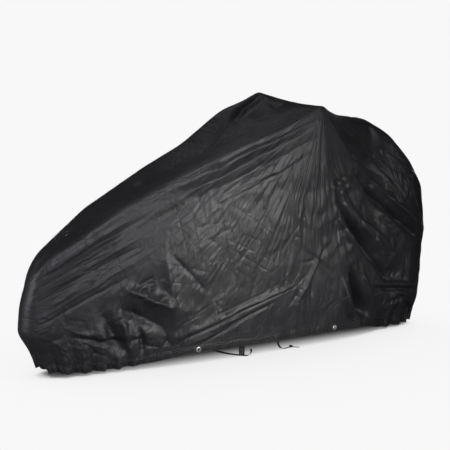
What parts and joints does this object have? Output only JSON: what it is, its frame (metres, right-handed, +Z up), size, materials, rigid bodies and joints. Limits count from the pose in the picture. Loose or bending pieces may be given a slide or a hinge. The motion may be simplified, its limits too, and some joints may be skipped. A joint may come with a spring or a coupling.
{
  "type": "cargo bicycle cover",
  "caption": "Fitted hollow cloth cover for a long cargo bicycle, draped in folds from handlebar and saddle, with hem eyelets, an underneath strap with buckle and a loose tie strap.",
  "frame": {"origin": "on the floor under the middle of the cover's length and width", "axes": "+X from nose to tail, +Y from the left side to the right side, +Z up"},
  "size_m": [2.4394, 0.7019, 1.2626],
  "materials": {
    "coated_cloth": "thin coated nylon, soft sheen",
    "hem_cloth": "doubled coated nylon, stitched",
    "webbing": "woven webbing, matt",
    "buckle_plastic": "moulded, satin",
    "eyelet_metal": "plated, bright satin"
  },
  "bodies": {
    "root": {"left_panel": "coated_cloth", "right_panel": "coated_cloth", "left_hem_band": "hem_cloth", "right_hem_band": "hem_cloth", "eyelet_left_front": "eyelet_metal", "eyelet_left_rear": "eyelet_metal", "eyelet_right_front": "eyelet_metal", "eyelet_right_rear": "eyelet_metal", "belly_strap": "webbing", "buckle_tab": "webbing", "buckle_socket": "buckle_plastic", "buckle_plug": "buckle_plastic", "tie_strap": "webbing", "tie_slider": "buckle_plastic"}
  },
  "joints": []
}
